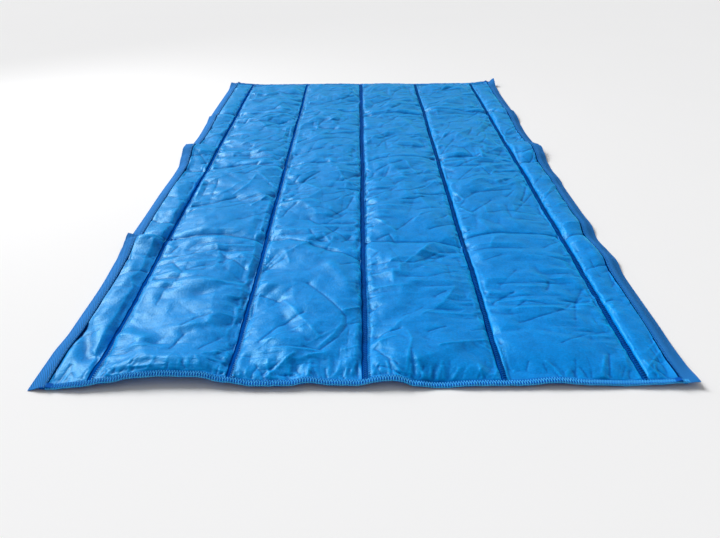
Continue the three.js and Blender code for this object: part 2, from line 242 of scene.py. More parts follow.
# The other folds, each by its width, depth and route
SHARP_FOLDS = (
    (13, 1.6, (-404, -121), (-401, -210)),
    (13, -2.2, (-295, -75), (-266, -117), (-238, -158)),
    (18, 2.2, (-377, 114), (-318, 172), (-237, 218)),
    (13, 1.6, (-299, 112), (-253, 69)),
    (16, 1.8, (-353, 448), (-278, 526), (-238, 485)),
    (16, 1.8, (-311, 391), (-274, 319), (-237, 284)),
    (13, -1.6, (-366, 411), (-328, 337)),
    (18, 2, (-343, 793), (-288, 762)),
    (16, 1.8, (-307, -350), (-246, -314)),
    (18, 2, (-388, -302), (-319, -261), (-264, -244)),
    (10, 1.8, (-323, -524), (-257, -589)),
    (16, 2.2, (-418, -559), (-383, -615), (-394, -666)),
    (13, -1.8, (-411, -653), (-375, -660)),
    (13, 1.8, (-444, -530), (-426, -484)),
    (21, -2, (-338, -485), (-319, -546), (-322, -588)),
    (21, 2, (-392, -530), (-365, -485), (-282, -478)),
    (18, 2.4, (-404, -666), (-408, -725)),
    (10, 2, (-344, -874), (-332, -827)),
    (10, 2, (-294, -874), (-268, -832)),
    (10, -2, (-282, -893), (-243, -870)),
    (10, 2, (-262, -893), (-236, -842)),
    (16, -2.2, (-485, -859), (-452, -886)),
    (16, 2, (-466, -895), (-456, -850)),
    (16, 2, (-528, 73), (-501, 87), (-462, 17)),
    (16, 1.8, (-528, 342), (-490, 413)),
    (16, 1.8, (-518, -96), (-472, -47)),
    (21, 2.2, (-136, 595), (-19, 699)),
    (18, 1.8, (-185, 609), (-12, 742)),
    (18, 2.2, (-186, 186), (-86, 248), (-20, 230)),
    (13, 1.6, (-174, 96), (-149, 200)),
    (13, -2.2, (-76, -40), (-60, -100), (-29, -150)),
    (13, 1.8, (-143, -77), (-184, -147)),
    (16, 2, (-156, -181), (-87, -159)),
    (13, 1.6, (-219, -255), (-188, -213)),
    (13, 1.6, (-30, 137), (-9, 64)),
    (16, 1.8, (-146, -305), (-113, -296), (-61, -326)),
    (16, 2, (-137, -351), (-92, -400), (-45, -450)),
    (13, 1.6, (-92, -371), (-45, -316)),
    (10, -2, (-96, -435), (-78, -475), (-74, -450)),
    (10, 1.8, (-118, -464), (-95, -450), (-64, -400)),
    (10, 1.6, (-130, -415), (-113, -460), (-88, -470)),
    (13, -1.6, (-174, -451), (-150, -464), (-61, -503)),
    (13, -1.6, (-177, -515), (-166, -559)),
    (10, 2, (-214, -572), (-189, -528)),
    (10, 1.6, (-214, -557), (-202, -531)),
    (12, 2.2, (-119, -649), (-80, -701), (-43, -763)),
    (13, 2.4, (-41, -766), (-39, -795), (-53, -831), (-83, -865)),
    (13, -1.4, (-47, -768), (-48, -792), (-62, -826), (-86, -856)),
    (10, -1.8, (-43, -750), (-12, -730)),
    (10, 1.6, (-31, -788), (-12, -776)),
    (16, 1.8, (-209, -685), (-170, -707)),
    (10, 1.8, (-112, -859), (-83, -867)),
    (10, 2.2, (-177, -927), (-149, -902)),
    (9, -2.2, (-168, -932), (-127, -881)),
    (9, -1.8, (-103, -884), (-76, -876)),
    (13, -1.2, (-162, -707), (-122, -775), (-89, -830)),
    (10, 1.8, (29, -454), (56, -440), (71, -479)),
    (10, -1.6, (11, -502), (33, -527)),
    (10, 1.6, (10, -546), (30, -525)),
    (13, 2, (130, -553), (166, -521), (215, -510)),
    (18, 2.52, (8, -568), (52, -577), (106, -575), (135, -553), (188, -527)),
    (10, -1.6, (130, -526), (141, -494), (156, -486)),
    (13, 1.2, (56, -508), (79, -585)),
    (16, 1.8, (76, -628), (128, -634), (160, -621), (197, -602)),
    (10, 1.2, (176, -581), (176, -636)),
    (10, 1.6, (136, -701), (158, -686)),
    (10, -2, (202, -753), (222, -745)),
    (10, 1.8, (16, -825), (60, -807)),
    (10, -1.4, (22, -847), (50, -833)),
    (12, 2, (13, -865), (28, -889), (50, -912)),
    (13, -2.2, (73, -819), (78, -841), (64, -922)),
    (10, 2, (74, -876), (78, -928)),
    (10, 2.4, (18, -915), (35, -920), (59, -938)),
    (10, -2.2, (84, -903), (93, -938)),
    (10, 1.4, (110, -819), (143, -803)),
    (13, 1.6, (28, 460), (60, 490)),
    (21, 2, (21, 504), (170, 550)),
    (16, 1.8, (25, 330), (95, 365)),
    (16, 1.6, (110, 439), (177, 537)),
    (16, 1.6, (38, 694), (99, 739)),
    (16, 2, (123, 260), (179, 259), (210, 242)),
    (13, 1.6, (122, 227), (75, 150)),
    (13, -2, (128, 8), (154, -94)),
    (16, 1.8, (75, -28), (45, -128)),
    (16, 2, (73, -192), (120, -197), (167, -160)),
    (16, -1.8, (141, -197), (193, -130), (220, -131)),
    (10, -1.8, (22, -355), (49, -382)),
    (13, -1.8, (28, -359), (71, -422)),
    (10, -1.8, (118, -374), (138, -338)),
    (18, 2, (268, 171), (314, 131), (339, 58)),
    (16, 1.6, (266, 688), (337, 734)),
    (16, 1.8, (257, 225), (299, 291)),
    (13, 1.6, (409, 222), (429, 129)),
    (10, 1.6, (338, -35), (358, -85)),
    (16, 1.8, (266, -113), (337, -9)),
    (10, -2, (239, -198), (260, -241)),
    (10, -2, (244, -292), (270, -340)),
    (18, 2, (288, -208), (394, -183)),
    (18, 2.2, (300, -331), (350, -313), (431, -323)),
    (13, 1.6, (450, -134), (465, -223)),
    (13, 1.6, (260, -560), (297, -539)),
    (16, 1.6, (373, -540), (444, -563)),
    (16, 1.4, (272, -661), (316, -603)),
    (21, 2, (274, -750), (311, -716), (347, -725)),
    (16, 1.6, (392, -713), (444, -714)),
    (13, -2.4, (409, -886), (389, -928)),
    (10, 2, (418, -880), (402, -930)),
    (13, 1.8, (485, 56), (518, -12)),
    (13, 1.6, (481, 394), (523, 321)),
    (16, 1.8, (474, 543), (530, 457)),
    (13, 1.4, (487, -563), (488, -625)),
    (13, 1.8, (497, -859), (503, -926)),
    (16, -2, (472, -915), (509, -873)),
)
SOFT_FOLDS = (
    (14, 3, (-388, 72), (-241, 70)),
    (22, -3.5, (-378, -678), (-335, -660), (-274, -655)),
    (18, 3.5, (-333, -690), (-270, -665)),
    (20, 3.5, (-395, -700), (-330, -690), (-239, -612)),
    (14, 3, (-330, -822), (-232, -768)),
    (21, -7.5, (-434, -826), (-406, -850), (-388, -898)),
    (15, -2, (-438, -820), (-400, -841)),
    (12, -2.2, (-341, -802), (-288, -792)),
    (10, -2.6, (-439, -926), (-415, -913), (-365, -909), (-291, -914), (-236, -932)),
    (17, 8.5, (-520, -796), (-506, -836), (-487, -874)),
    (12, -2.5, (-505, -560), (-497, -640), (-512, -700)),
    (14, -2.5, (-498, -740), (-520, -800)),
    (18, -5, (-516, -472), (-480, -466)),
    (10, 2.4, (-196, 330), (-146, 351), (-40, 320)),
    (9, 1.1, (-208, -692), (-176, -656), (-144, -641), (-119, -649)),
    (16, -3.2, (-77, -577), (-41, -650), (-12, -709)),
    (14, 3, (-168, -707), (-157, -781), (-137, -818)),
    (10, 1.2, (-152, -768), (-126, -818), (-91, -853)),
    (9, 0.7, (-137, -728), (-95, -775)),
    (20, 3.6, (14, -818), (44, -772), (93, -748), (206, -757)),
    (10, 2.2, (223, -820), (290, -806), (399, -837)),
)
FOLDS = [
    *(Fold(PACKING_WIDTH, depth, 0, path) for depth, *path in PACKING_CREASES),
    *(Fold(PACKING_LINE_WIDTH, PACKING_LINE_DEPTH, 1, path) for depth, *path in PACKING_CREASES),
    *(Fold(width, depth, 1, path) for width, depth, *path in SHARP_FOLDS),
    *(Fold(width, depth, 0, path) for width, depth, *path in SOFT_FOLDS),
]

# The film is cut a little larger than the place it lies in, by these shares across, along and askew, and
# unevenly so. The two half channels have only a share of that.
SEED = 11
LOOSE_ACROSS = 0.010
LOOSE_ALONG = 0.009
LOOSE_ASKEW = 0.018
LOOSE_PATCH = 95.0
LOOSE_SHARE_NARROW = 0.45
# It is let go in four rounds on finer and finer grids, and buckles over the soft filling. A round has its
# passes, the film's stiffness, and the height and width of the facets it starts with. Every pass takes out
# a share of the misfit along the grid's lines and along its diagonals, and of the height off the filling.
STRETCH_STRENGTH = 0.9
SHEAR_STRENGTH = 0.5
FILLING_PUSH = 0.002
Round = namedtuple("Round", "coarser passes stiffness wave facet")
ROUNDS = (
    Round(coarser=8, passes=160, stiffness=0.0005, wave=5, facet=75),
    Round(coarser=4, passes=160, stiffness=0.0006, wave=2.5, facet=36),
    Round(coarser=2, passes=120, stiffness=0.0010, wave=0.9, facet=17),
    Round(coarser=1, passes=60, stiffness=0.0020, wave=0.25, facet=9),
)
# How far in from its sewn sides and its ends the film is held tight against folds, and against crinkles
TIGHT_REACH = 2.5
TIGHT_END_REACH = 5.0
HELD_REACH = 9.0
HELD_END_REACH = 20.0
# The least height of the film over the underside
FILM_ABOVE_UNDER = 1.3

# The crinkles of the film, from broad facets to small crumples: how wide and high they are, and how much of
# that height they have in the middle of a channel and along its seams and ends. They vary in patches.
Crinkle = namedtuple("Crinkle", "cell height middle sides")
CRINKLES = (
    Crinkle(cell=115, height=5.5, middle=1.0, sides=0.4),
    Crinkle(cell=58, height=5.6, middle=0.9, sides=0.8),
    Crinkle(cell=30, height=2.6, middle=0.4, sides=0.9),
    Crinkle(cell=16, height=1.7, middle=0.12, sides=0.9),
)
FACET_WARP = 0.2
FACET_WARP_CELLS = 1.7
CRINKLE_SIDE_REACH = 48.0
CRINKLE_SIDE_SHARE = 0.6
CRINKLE_END_REACH = 50.0
CRINKLE_PATCH = 80.0
CRINKLE_STRENGTHS = (0.2, 1.5)
CRINKLE_SQUEEZE = 0.75
# Places where the film lies calm: where they are, how far they reach across and along, and how calm they are
Calm = namedtuple("Calm", "x y across along share")
CALM_PLACES = (
    Calm(x=120, y=-690, across=90, along=110, share=0.75),
    Calm(x=340, y=-760, across=110, along=170, share=0.75),
    Calm(x=340, y=-500, across=100, along=130, share=0.65),
    Calm(x=-140, y=-620, across=60, along=50, share=0.5),
    Calm(x=-330, y=-760, across=60, along=70, share=0.4),
    Calm(x=-500, y=-620, across=70, along=190, share=0.7),
)
# Straight slopes beside seams, where the film lies slack: the panel whose right side it is, where along the
# seam it runs and how steep it is
Flank = namedtuple("Flank", "panel first last rise")
FLANKS = (
    Flank(panel=0, first=-905, last=-455, rise=0.66),
    Flank(panel=1, first=-905, last=-450, rise=0.6),
)
FLANK_UNEVEN = 0.35
FLANK_PATCH = 45.0
FLANK_FADE = 30.0
# Puckers: short creases that run in from a sewn line, with how far apart they start, how long, wide and deep
# they are, and how far they lean from straight in
Pucker = namedtuple("Pucker", "spacing length width depth lean")
SEAM_PUCKER = Pucker(spacing=14, length=(6, 34), width=(3.5, 8), depth=(-1.1, 1.4), lean=60)
END_PUCKER = Pucker(spacing=7, length=(10, 42), width=(2.2, 4.6), depth=(-1.3, 1.2), lean=34)
PUCKER_JITTER = 0.45
PUCKER_BEND = 0.2
PUCKER_START = 6
END_PUCKER_ROOM = 6
# The share of its seam puckers that each panel keeps, from left to right
PUCKERS_KEPT = (0.25, 0.7, 0.7, 0.6, 0.35, 0.25)
# Free creases: like puckers, but anywhere on a panel. They rise to the right and keep clear of both ends,
# and only a share of them is kept in the nearest third of the blanket.
FREE_CREASE = Pucker(spacing=50, length=(30, 130), width=(8, 18), depth=(-2.4, 2.8), lean=34)
FREE_CREASE_RISE = math.radians(38)
FREE_CREASE_ENDS = (60, 30)
FREE_CREASE_SPREAD = 1.6
FREE_CREASES_NEAR = 0.3

# How fine the meshes are, and how sharp a rim is
FULL_CELLS = 112
HALF_CELLS = 36
ROW_COUNT = 680
ROWS_CLOSER_NEAR = 0.5
CELLS_CLOSER_AT_SEAMS = 0.2
PANEL_UNDER_STRIDE = 8
SEAM_UNDER_STRIDE = 3
UNDER_ROW_STRIDE = 8
RIM_ANGLE = math.radians(60)

# Places in the list of a strip's materials: a line of painted shade, and the overlocked strip's film darkened
# with painted shade
PAINTED_SHADE_LINE = 1
SEWN_FILM_PAINTED_SHADE = 2
# How crumpled the film is in the middle of a channel, how much that varies, and how dark and wide the
# crumples' lines of painted shade are
CRUMPLE_MIDDLE = 0.3
CRUMPLE_STRENGTHS = (0.3, 1.3)
CRUMPLE_LINE_PAINTED_SHADE = 0.28
CRUMPLE_LINE_PAINTED_SHADE_WIDTH = 0.07
# How deep a crease is that has all of its painted shade, and over how many cells its surroundings are taken
PAINTED_SHADE_FULL_DEPTH = 0.5
PAINTED_SHADE_BLUR = 6
# The film's colour from its creases to its ridges, as a share of its own: painted shade in the creases and
# painted highlight on the ridges
CREASE_PAINTED_SHADE_RIDGE_HIGHLIGHT = ((0.0, (1, 0.5, 0.66)), (0.44, (1, 1, 1)), (0.56, (1, 1, 1)), (1.0, (1, 1.34, 1.2)))

# The camera, at the photograph's viewing angle
CAMERA_PLACE = (-0.0125, -1.717, 0.695)
CAMERA_LENS = 30.86
CAMERA_SENSOR = 36
CAMERA_PITCH = math.radians(31.19)
CAMERA_ROLL = math.radians(-0.35)

# The studio: a white surround that is brightest at the back left, a broad key light and a softbox from there,
# and a weak fill from the front
WORLD_STRENGTH = 0.218
WORLD_FROM = (-0.35, 0.6, 0.72)
WORLD_SHARE = 0.9
KEY_FROM = (-0.54, 0.54, 0.64)
KEY_STRENGTH = 2.84
KEY_WIDTH = math.radians(28)
Softbox = namedtuple("Softbox", "name place aim size power")
SOFTBOXES = (
    Softbox("softbox", place=(-1.4, 0.65, 1.15), aim=(-0.45, -0.5, 0), size=0.9, power=7),
    Softbox("fill", place=(0.3, -3.2, 0.9), aim=(0, -0.9, 0), size=1.6, power=2),
)
FLOOR_RADIUS = 9
FLOOR_CORNERS = 96
FLOOR_DROP = 0.0003

# The values between which noise mostly lies
NOISE_SPREAD = (0.3, 0.7)
# The film: its finish, how much its roughness, colour and grain vary, and the scales of all these
FILM_SOCKETS = {
    "Specular Tint": (0.05, 0.88, 1, 1),
    "Coat Weight": 0.045,
    "Coat Roughness": 0.22,
    "Sheen Weight": 0.68,
    "Sheen Roughness": 0.4,
    "Sheen Tint": (0, 0.72, 1, 1),
}
FILM_SPECULAR = 0.38
FILM_ROUGHNESS = (0.38, 0.48)
FILM_COLORS = ((0.0, 0.2, 0.66), (0.0, 0.248, 0.78))
FILM_GRAIN_SHADES = (0.88, 1.12)
FILM_PATCHES = 22
FILM_MOTTLING = 40
FILM_GRAINS = 280
# Its fine crumples and crinkles: the scales of their cells, and the scale and reach of the warp in them
FILM_CRUMPLES = 46
FILM_CRINKLES = 110
FILM_WARP = (30, 0.02)
# How deep the film's crumples, crinkles and grain look, in metres
FILM_BUMPS = (0.0027, 0.0007, 0.0006)
# The other materials: the scale of their mottling, the two colours that it drifts between, and their finish
Cloth = namedtuple("Cloth", "scale low high roughness specular")
CLOTHS = {
    "floor": Cloth(3, (0.929, 0.929, 0.934), (0.931, 0.931, 0.936), 0.9, 0.1),
    "binding": Cloth(18, (0.012, 0.172, 0.51), (0.024, 0.2, 0.58), 0.8, 0.08),
    # A copy of the film darkened with painted shade, for the seams and the overlocked ends
    "seam film painted shade": Cloth(60, (0.0, 0.085, 0.42), (0.0, 0.11, 0.50), 0.7, 0.05),
    # Painted shade for a seam's deep line and a tape's sewn line
    "sewn line": Cloth(60, (0.0, 0.05, 0.28), (0.0, 0.075, 0.36), 0.8, 0),
    # Painted shadow in the groove beside each tape
    "groove painted shadow": Cloth(60, (0.0, 0.012, 0.08), (0.0, 0.02, 0.12), 0.8, 0),
    # The seam thread in a copy with painted shade; its copy with painted highlight is the last one here
    "thread": Cloth(120, (0.0, 0.17, 0.56), (0.02, 0.24, 0.70), 0.6, 0.15),
    "edge thread": Cloth(120, (0.05, 0.48, 1.0), (0.10, 0.58, 1.0), 0.7, 0),
    "tape thread": Cloth(120, (0.12, 0.5, 0.95), (0.2, 0.6, 1.0), 0.6, 0.1),
    "thread painted highlight": Cloth(120, (0.14, 0.55, 1.0), (0.24, 0.66, 1.0), 0.6, 0.1),
}
CLOTH_ROUGHNESS_DRIFT = 0.06


def smooth(t):
    return t * t * (3 - 2 * t)


def mix(a, b, t):
    return a + (b - a) * t


def read(rows, column, at):
    """A column of a table at places in its first column, eased from row to row."""
    keys = next(iter(rows.values()))
    values = rows[column]
    i = np.clip(np.searchsorted(keys, at, side="right") - 1, 0, len(keys) - 2)
    t = np.clip((at - keys[i]) / (keys[i + 1] - keys[i]), 0, 1)
    return mix(values[i], values[i + 1], smooth(t))


def swell(t):
    """A round rise from 0 to 1, steep at first."""
    return np.sqrt(np.clip(1 - (1 - np.clip(t, 0, 1)) ** DOME_POWER, 0, 1))


def dome(share):
    """A round section from side to side, 1 high in the middle."""
    return np.sqrt(np.clip(1 - np.abs(2 * share - 1) ** DOME_POWER, 0, 1))


def rise(distance, reach):
    """An eased rise from 0 at no distance to 1 at the reach."""
    return smooth(np.clip(distance / reach, 0, 1))


def fade(distance, reach):
    return 1 - rise(distance, reach)


def end_distance(y):
    return HALF_LENGTH - np.abs(y)


def edge_at(side, y):
    """A long edge: its tape's outer edge and sewn line, and how high margin, tape and a flat margin lie."""
    places, lifts = (LEFT_EDGE, LEFT_LIFT) if side < 0 else (RIGHT_EDGE, RIGHT_LIFT)
    outer = read(places, "across", y)
    return {
        "outer": outer,
        "sewn": outer - side * TAPE_RUN,
        "margin": read(lifts, "margin", y),
        "drop": read(lifts, "outer", y),
        "rest": mix(MARGIN_REST_AT_END, MARGIN_REST, swell(end_distance(y) / MARGIN_END_REACH)),
    }


def wander(reaches, height, y):
    """A small uneven wander along the blanket."""
    return height * sum(np.sin(y / reach + phase) for reach, phase in reaches) / len(reaches)


def seam_at(index, y):
    """A seam's place across, at places along it."""
    return SEAM_LINES[index] + wander(SEAM_WANDERS, SEAM_WANDER, y + SEAM_SHIFT * index)


def seam_side(index, side, y):
    """Where the film on one side of a seam begins."""
    at = SEAM_LEFT if side < 0 else SEAM_RIGHT
    shift = SEAM_SHIFT * (index + SEAM_SIDE_SHIFT * side)
    return seam_at(index, y) + at + wander(SEAM_RUFFLES, SEAM_RUFFLE, y + shift)


def lift_at(x, y):
    """How high the waves in the edges and ends lift the quilt's underside off the floor."""
    away = end_distance(y)
    ends = np.where(y < 0, read(NEAR_LIFT, "lift", x), read(FAR_LIFT, "lift", x))
    swollen = END_SWELL * np.maximum(ends - END_FREE_LIFT, 0)
    swollen = swollen * rise(away, END_STRIP) * fade(away - END_STRIP, END_SWELL_REACH)
    lift = ends * fade(away, END_LIFT_REACH) + swollen
    for side in (-1, 1):
        edge = edge_at(side, y)
        wave = np.maximum(edge["margin"] - edge["rest"], 0)
        lift = lift + wave * fade(np.abs(x - edge["sewn"]), EDGE_LIFT_REACH)
    return lift


def drawn_in(points):
    """Places of the blanket after its near end has been drawn in."""
    x, y, z = points.T
    drawn = read(NEAR_DRAWN, "drawn", x) * fade(HALF_LENGTH + y, NEAR_DRAWN_REACH)
    return np.stack([x, y + drawn, z], -1)


def off_path(path, x, y):
    """How far each place is from a path of straight lines."""
    nearest = np.full_like(x, np.inf)
    for start, end in zip(path[:-1], path[1:]):
        run = end - start
        share = np.clip(((x - start[0]) * run[0] + (y - start[1]) * run[1]) / (run @ run), 0, 1)
        off = np.hypot(x - start[0] - share * run[0], y - start[1] - share * run[1])
        nearest = np.minimum(nearest, off)
    return nearest


def fold_relief(folds, x, y):
    """How deep these folds press the film. A sharp one hinges the film and has a thin crease."""
    depth = np.zeros_like(x)
    row_y = y.mean(0)
    line_depth = CREASE_LINE_DEPTH * (1 + patches(np.random.default_rng(SEED), x, y, CREASE_LINE_PATCH))
    for fold in folds:
        path = np.array(fold.path, float)
        room = FOLD_ROOM * fold.width
        if path[:, 0].max() + room < x.min() or path[:, 0].min() - room > x.max():
            continue
        first, last = np.searchsorted(row_y, (path[:, 1].min() - room, path[:, 1].max() + room))
        near = slice(None), slice(first, last)
        off = off_path(path, x[near], y[near])
        if fold.sharp:
            tip = FOLD_TIP / fold.width
            depth[near] += fold.depth * np.exp(tip - np.sqrt(tip ** 2 + FOLD_FALL * (off / fold.width) ** 2))
            line_share = np.clip(fold.depth / CREASE_LINE_FULL, -1, 1)
            line_width = mix(*CREASE_LINE_WIDTH, 0.5 + y[near] / (2 * HALF_LENGTH))
            depth[near] += line_depth[near] * line_share * np.exp(-(off / line_width) ** 2)
        else:
            depth[near] += fold.depth * np.exp(-(off / fold.width) ** 2)
    return depth


def cell_corners(values, u, v):
    """The values at the four corners of the grid cell that each place is in, and the place's shares of it."""
    i = u.astype(int)
    j = v.astype(int)
    return values[i, j], values[i + 1, j], values[i + 1, j + 1], values[i, j + 1], u - i, v - j


def patches(rng, x, y, cell):
    """Smooth uneven patches from -1 to 1, about a cell wide."""
    columns = int(np.ptp(x) / cell) + 4
    rows = int(np.ptp(y) / cell) + 4
    values = rng.uniform(-1, 1, (columns, rows))
    a, b, c, d, s, t = cell_corners(values, (x - x.min()) / cell + 1, (y - y.min()) / cell + 1)
    return mix(mix(a, b, smooth(s)), mix(d, c, smooth(s)), smooth(t))


def facets(rng, x, y, cell):
    """Flat uneven facets with straight edges between them, about a cell wide and from -1 to 1 high."""
    turn = rng.uniform(0, np.pi)
    reach = np.hypot(np.ptp(x), np.ptp(y)) / 2 + 3 * cell
    count = int(2 * reach / cell) + 2
    heights = rng.uniform(-1, 1, (count, count))
    slants = rng.random((count, count)) < 0.5
    mx, my = (
        at - (at.min() + at.max()) / 2 + FACET_WARP * cell * patches(rng, x, y, FACET_WARP_CELLS * cell)
        for at in (x, y)
    )
    u = (mx * np.cos(turn) + my * np.sin(turn) + reach) / cell
    v = (my * np.cos(turn) - mx * np.sin(turn) + reach) / cell
    a, b, c, d, s, t = cell_corners(heights, u, v)
    rising = np.where(s > t, a + (b - a) * s + (c - b) * t, a + (c - d) * s + (d - a) * t)
    falling = np.where(s + t < 1, a + (b - a) * s + (d - a) * t, c + (d - c) * (1 - s) + (b - c) * (1 - t))
    return np.where(slants[u.astype(int), v.astype(int)], rising, falling)


def pucker_row(rng, pucker, starts, inward):
    """Short creases from the places of a sewn line, running the inward way."""
    folds = []
    for x, y in starts:
        length = rng.uniform(*pucker.length)
        lean = np.radians(rng.uniform(-pucker.lean, pucker.lean))
        way = np.array([[np.cos(lean), -np.sin(lean)], [np.sin(lean), np.cos(lean)]]) @ inward
        bend = np.array([-way[1], way[0]]) * rng.uniform(-PUCKER_BEND, PUCKER_BEND)
        begin = np.array([x, y]) + way * rng.uniform(0, PUCKER_START)
        path = begin, begin + (way + bend) * length / 2, begin + way * length
        folds.append(Fold(rng.uniform(*pucker.width), rng.uniform(*pucker.depth), 1, path))
    return folds


def flank_relief(index, height, x, y):
    """How far the film of a panel is pulled down, to a straight slope up from the seam on its right."""
    relief = np.zeros_like(x)
    for flank in FLANKS:
        if flank.panel == index:
            beyond = np.maximum(np.maximum(flank.first - y, y - flank.last), 0)
            uneven = 1 + FLANK_UNEVEN * patches(np.random.default_rng(SEED + index), x, y, FLANK_PATCH)
            slope = SEAM["height"][0] + flank.rise * uneven * (x[-1:] - x)
            relief += fade(beyond, FLANK_FADE) * np.maximum(height - slope, 0)
    return relief


def uneven_row(rng, first, last, spacing):
    """Unevenly spaced places from first to last."""
    places = np.arange(first, last, spacing)
    return places + rng.uniform(-PUCKER_JITTER, PUCKER_JITTER, len(places)) * spacing


def puckers(rng, index):
    """The puckers of a panel, along its two sewn sides and its two ends."""
    folds = []
    reach = HALF_LENGTH - END_STRIP
    y = uneven_row(rng, -reach, reach, SEAM_PUCKER.spacing)
    left, right = panel_sides(index, y)[0]
    for side, inward in ((left, 1), (right, -1)):
        keep = rng.random(len(y)) < PUCKERS_KEPT[index]
        folds += pucker_row(rng, SEAM_PUCKER, zip(side[keep], y[keep]), (inward, 0))
    for end in (-1, 1):
        x = uneven_row(rng, left[0] + END_PUCKER_ROOM, right[0] - END_PUCKER_ROOM, END_PUCKER.spacing)
        rim = np.full_like(x, end * reach)
        folds += pucker_row(rng, END_PUCKER, zip(x, rim), (0, -end))
    return folds


def free_creases(rng, index):
    """Creases anywhere on a panel, mostly across it and rising to the right, fewer in its nearest third."""
    folds = []
    way = (np.cos(FREE_CREASE_RISE), np.sin(FREE_CREASE_RISE))
    near, far = FREE_CREASE_ENDS
    for row in np.arange(-HALF_LENGTH + near, HALF_LENGTH - far, FREE_CREASE.spacing / 2):
        y = row + rng.uniform(-0.5, 0.5) * FREE_CREASE.spacing
        if y < -HALF_LENGTH / 3 and rng.random() > FREE_CREASES_NEAR:
            continue
        left, right = panel_sides(index, np.array([y]))[0]
        starts = np.arange(left[0], right[0], 2 * FREE_CREASE.spacing)
        starts = starts + rng.uniform(0, FREE_CREASE_SPREAD, len(starts)) * FREE_CREASE.spacing
        folds += pucker_row(rng, FREE_CREASE, ((x, y) for x in starts), way)
    return folds


def crinkle_relief(rng, x, y, inside):
    """How high the crinkled film stands at each place of a panel, given how far it is from the seams."""
    reach = min(CRINKLE_SIDE_REACH, CRINKLE_SIDE_SHARE * inside.max())
    busy = np.maximum(fade(inside, reach), fade(end_distance(y), CRINKLE_END_REACH))
    relief = np.zeros_like(x)
    stir = np.ones_like(x)
    for calm in CALM_PLACES:
        stir *= 1 - calm.share * np.exp(-((x - calm.x) / calm.across) ** 2 - ((y - calm.y) / calm.along) ** 2)
    for layer in CRINKLES:
        patch = 0.5 + 0.5 * patches(rng, x, y, CRINKLE_PATCH)
        strength = stir * mix(layer.middle, layer.sides, busy) * mix(*CRINKLE_STRENGTHS, smooth(patch))
        relief += layer.height * strength * facets(rng, x, y * CRINKLE_SQUEEZE, layer.cell)
    return relief


def pairs_in_row(count):
    """The first and the second places of all pairs of neighbours in a row, in two batches."""
    for first in (0, 1):
        last = count - (count - first) % 2
        yield slice(first, last, 2), slice(first + 1, last + 1, 2)


def neighbour_pairs(shape):
    """Pairs of places in batches without a place twice, with a slant of 0, or of 1 or -1 on a diagonal."""
    across, along = shape
    whole = slice(None)
    near = slice(0, along - 1)
    far = slice(1, along)
    batches = [((left, whole), (right, whole), 0) for left, right in pairs_in_row(across)]
    batches += [((whole, nearer), (whole, farther), 0) for nearer, farther in pairs_in_row(along)]
    for left, right in pairs_in_row(across):
        batches.append(((left, near), (right, far), 1))
        batches.append(((left, far), (right, near), -1))
    return batches


def curvature(p):
    """The difference between each place and the mean of its neighbours, times four."""
    bend = np.zeros_like(p)
    bend[1:-1] += p[2:] + p[:-2] - 2 * p[1:-1]
    bend[:, 1:-1] += p[:, 2:] + p[:, :-2] - 2 * p[:, 1:-1]
    return bend


def let_go(base, loose, start, step):
    """Lets a film panel settle: it keeps its cut lengths, resists bending and rests on the filling."""
    free = np.ones(base.shape[:2])
    free[0] = free[-1] = 0
    free[:, 0] = free[:, -1] = 0
    p = base + start * free[..., None]
    batches = []
    for a, b, slant in neighbour_pairs(base.shape[:2]):
        extra = {name: (values[a] + values[b]) / 2 for name, values in loose.items()}
        scale = np.stack([1 + extra["across"], 1 + extra["along"], np.ones_like(extra["across"])], -1)
        length = np.linalg.norm((base[b] - base[a]) * scale, axis=-1) * (1 + slant * extra["askew"])
        strength = (SHEAR_STRENGTH if slant else STRETCH_STRENGTH) / np.maximum(free[a] + free[b], 1)
        batches.append((a, b, length, strength * free[a], strength * free[b]))
    for turn in range(step.passes):
        for a, b, length, move_a, move_b in batches if turn % 2 == 0 else reversed(batches):
            gap = p[b] - p[a]
            now = np.sqrt(np.einsum("ijk,ijk->ij", gap, gap))
            gap *= (1 - length / now)[..., None]
            p[a] += gap * move_a[..., None]
            p[b] -= gap * move_b[..., None]
        p[..., 2] += FILLING_PUSH * free * (base[..., 2] - p[..., 2])
        p -= step.stiffness * free[..., None] * curvature(curvature(p))
    return p - base


def resample(values, shares_in, rows_in, shares_out, rows_out):
    """A grid of values read at other shares across and other places along."""
    i = np.interp(shares_out, shares_in, np.arange(len(shares_in)))
    j = np.interp(rows_out, rows_in, np.arange(len(rows_in)))
    i0 = np.clip(i.astype(int), 0, len(shares_in) - 2)
    j0 = np.clip(j.astype(int), 0, len(rows_in) - 2)
    ti = (i - i0)[:, None, None]
    tj = (j - j0)[None, :, None]
    near = mix(values[i0][:, j0], values[i0 + 1][:, j0], ti)
    far = mix(values[i0][:, j0 + 1], values[i0 + 1][:, j0 + 1], ti)
    return mix(near, far, tj)


def shares_across(cells):
    """Places across a panel as shares of its width, closer together at its seams."""
    t = np.linspace(0, 1, cells + 1)
    return t - CELLS_CLOSER_AT_SEAMS * np.sin(2 * np.pi * t) / (2 * np.pi)


def rows_along(count):
    """Places along the blanket, closer together at the near end."""
    t = np.linspace(0, 1, count)
    t = t - ROWS_CLOSER_NEAR * t * (1 - t)
    reach = HALF_LENGTH - END_STRIP
    return mix(-reach, reach, t)


def panel_sides(index, y):
    """The two sewn sides of a film panel: where they are across, and how high over the lifted underside."""
    places = []
    heights = []
    for side, seam in ((-1, index - 1), (1, index)):
        if 0 <= seam < len(SEAM_LINES):
            places.append(seam_side(seam, -side, y))
            heights.append(np.full_like(y, SEAM["height"][-1 if side < 0 else 0]))
        else:
            edge = edge_at(side, y)
            places.append(edge["sewn"])
            heights.append(edge["rest"] + LIP_THICK)
    return places, heights


